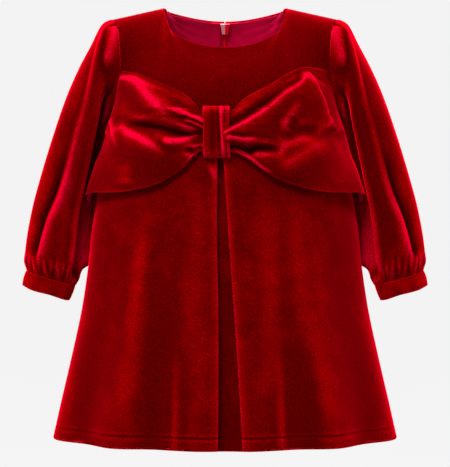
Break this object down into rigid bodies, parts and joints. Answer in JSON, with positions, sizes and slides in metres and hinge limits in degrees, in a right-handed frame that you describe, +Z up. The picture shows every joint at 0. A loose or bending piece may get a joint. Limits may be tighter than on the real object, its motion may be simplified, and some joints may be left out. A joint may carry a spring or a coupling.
{
  "type": "toddler party dress",
  "caption": "Long-sleeved velvet toddler dress with a wide bow across the chest, an inverted box pleat, gathered cuffs and a back zip, filled out as if worn",
  "frame": {"origin": "midway between the two shoulder neck points, at their height, where the wearer's shoulders hold the dress", "axes": "+Z up, the front faces -Y, and +X is to the right as seen from the front"},
  "size_m": [0.4366, 0.2323, 0.4622],
  "materials": {
    "velvet": "deep red cotton velvet, dark face-on and bright where the pile is seen edge-on",
    "lining": "plain crimson woven lining",
    "zip_tape": "dull crimson woven tape",
    "zip_coil": "dyed nylon coil",
    "zip_enamel": "crimson enamelled zinc"
  },
  "bodies": {
    "dress": {"front_bodice": "velvet", "skirt_front": "velvet", "back_left": "velvet", "back_right": "velvet", "sleeve_left": "velvet", "sleeve_right": "velvet", "cuff_left": "velvet", "cuff_right": "velvet", "bow_wing_left": "velvet", "bow_wing_right": "velvet", "bow_knot": "velvet", "bow_lining_left": "lining", "bow_lining_right": "lining", "back_lining_left": "lining", "back_lining_right": "lining", "zip_tape_left": "zip_tape", "zip_tape_right": "zip_tape", "zip_coil": "zip_coil", "zip_slider": "zip_enamel"},
    "pull": {"zip_pull_tab": "zip_enamel"}
  },
  "joints": [
    {"name": "pull_tab_flip", "type": "hinge", "parent": "dress", "child": "pull", "pos_m": [0, 0.05027, -0.01241], "axis": [1, 0, 0], "range_deg": [0, 140]}
  ]
}
